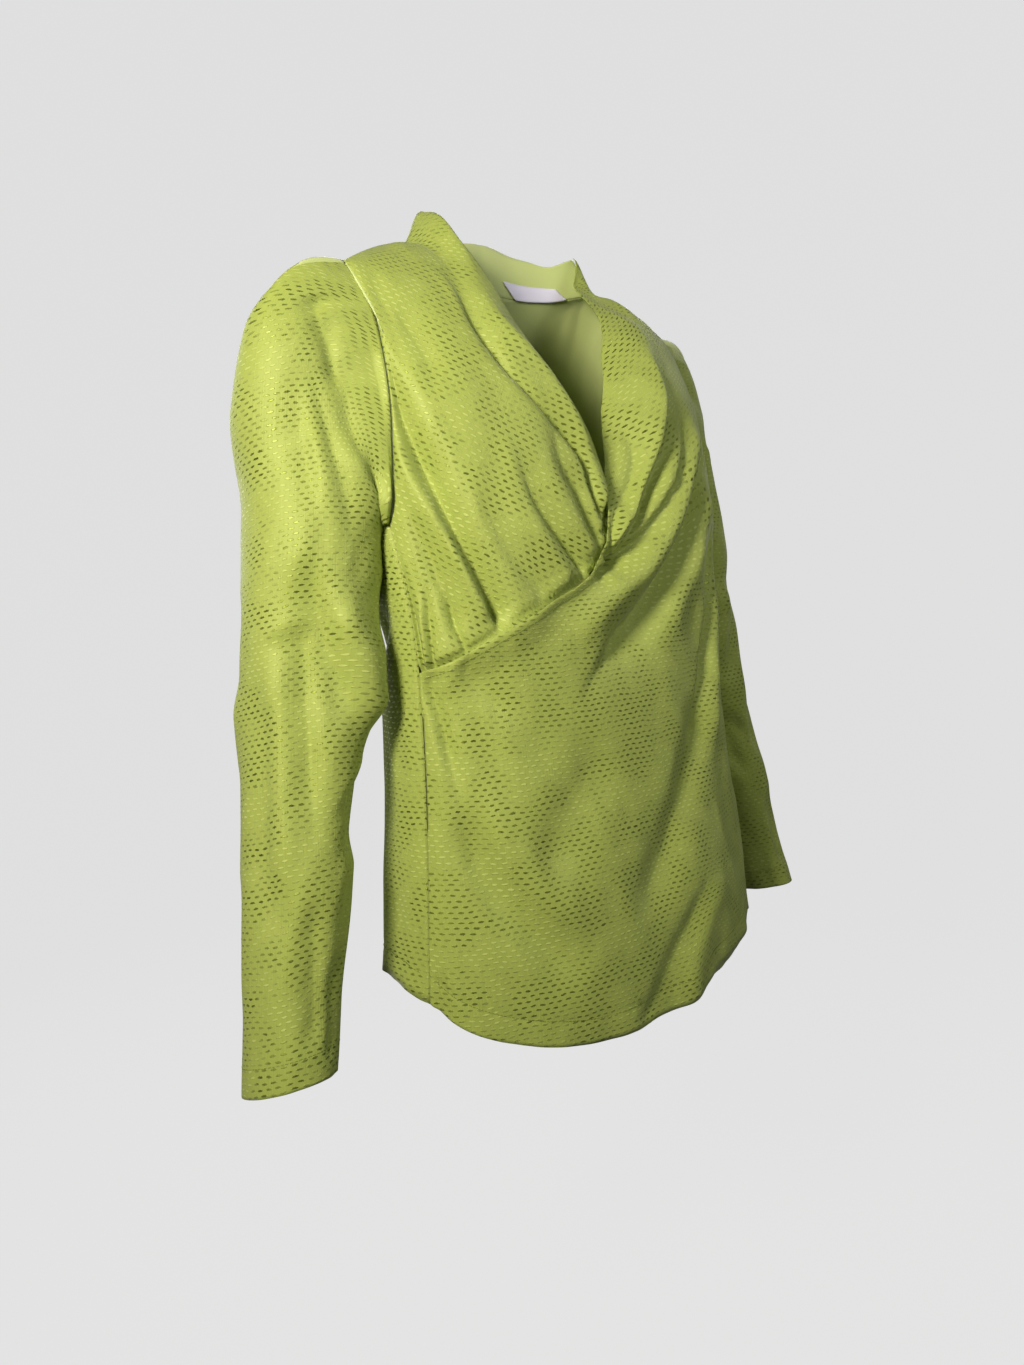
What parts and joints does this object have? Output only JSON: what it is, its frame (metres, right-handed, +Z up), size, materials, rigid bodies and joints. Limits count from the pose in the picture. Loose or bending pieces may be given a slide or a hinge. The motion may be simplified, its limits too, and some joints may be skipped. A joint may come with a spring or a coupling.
{
  "type": "long-sleeved wrap top",
  "caption": "Long-sleeved satin wrap top with a crossed V front, a grown-on collar and a curved hem, filled out as worn, hollow, with open neck, hem and cuffs.",
  "frame": {"origin": "midway between the two shoulder seams, at the height of their neck ends, where the top rests on its wearer", "axes": "+X to the wearer's left, -Y to the front of the top, +Z up"},
  "size_m": [0.662, 0.2101, 0.6724],
  "materials": {
    "satin": "olive green jacquard satin with rows of small dashes, glossy face, matte inner side",
    "label_tape": "white woven label tape, blank"
  },
  "bodies": {
    "root": {"left_front": "satin", "right_front": "satin", "back": "satin", "collar_stand": "satin", "right_sleeve": "satin", "left_sleeve": "satin", "label": "label_tape"}
  },
  "joints": []
}
